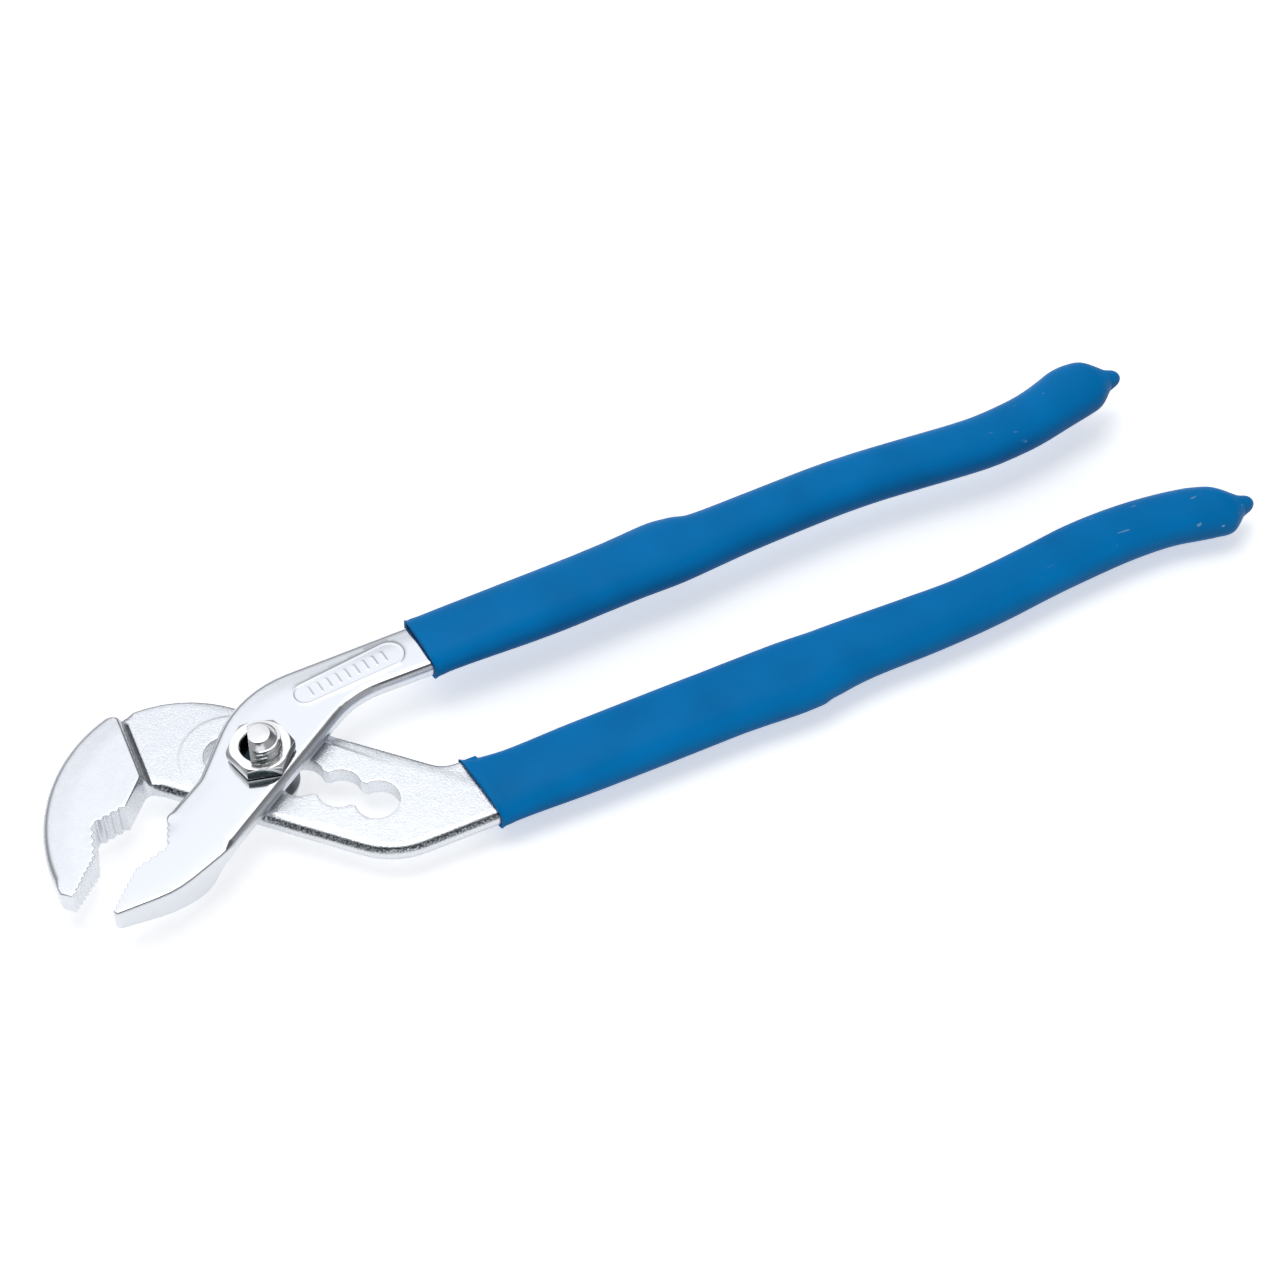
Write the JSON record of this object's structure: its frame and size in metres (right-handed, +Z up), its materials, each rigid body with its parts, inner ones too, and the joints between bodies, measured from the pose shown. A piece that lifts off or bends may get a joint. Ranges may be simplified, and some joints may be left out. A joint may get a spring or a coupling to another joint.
{
  "type": "slip-joint water pump pliers",
  "caption": "Adjustable pliers with toothed jaws, a wavy slot for the pivot bolt, chromed forged halves and blue dipped handles, lying flat.",
  "frame": {"origin": "on the pivot bolt's axis, at the flat underside of its head", "axes": "+X runs along the handles from the jaws, +Z runs up along the pivot bolt from its head to its nut, the slotted half lies below and the other half on top"},
  "size_m": [0.3083, 0.0669, 0.0226],
  "materials": {
    "forged_chrome": "chrome plate over a shot-blasted forging",
    "polished_chrome": "polished chrome plate",
    "plated_bolt": "turned steel, bright zinc plated",
    "plated_nut": "bright plated steel",
    "dipped_vinyl": "dipped PVC, satin"
  },
  "bodies": {
    "slotted_half": {"rear_half": "forged_chrome", "rear_grip": "dipped_vinyl"},
    "slot_slider": {"back_washer": "plated_bolt"},
    "lapped_half": {"front_half": "polished_chrome", "pivot_bolt": "plated_bolt", "pivot_nut": "plated_nut", "front_grip": "dipped_vinyl"}
  },
  "joints": [
    {"name": "lobe_slide", "type": "slide", "parent": "slotted_half", "child": "slot_slider", "axis": [0.7071, -0.7071, 0], "range_m": [-0.00956, 0.02868]},
    {"name": "handle_hinge", "type": "hinge", "parent": "slot_slider", "child": "lapped_half", "pos_m": [0, 0, 0.01], "axis": [0, 0, 1], "range_deg": [0, 45]}
  ]
}
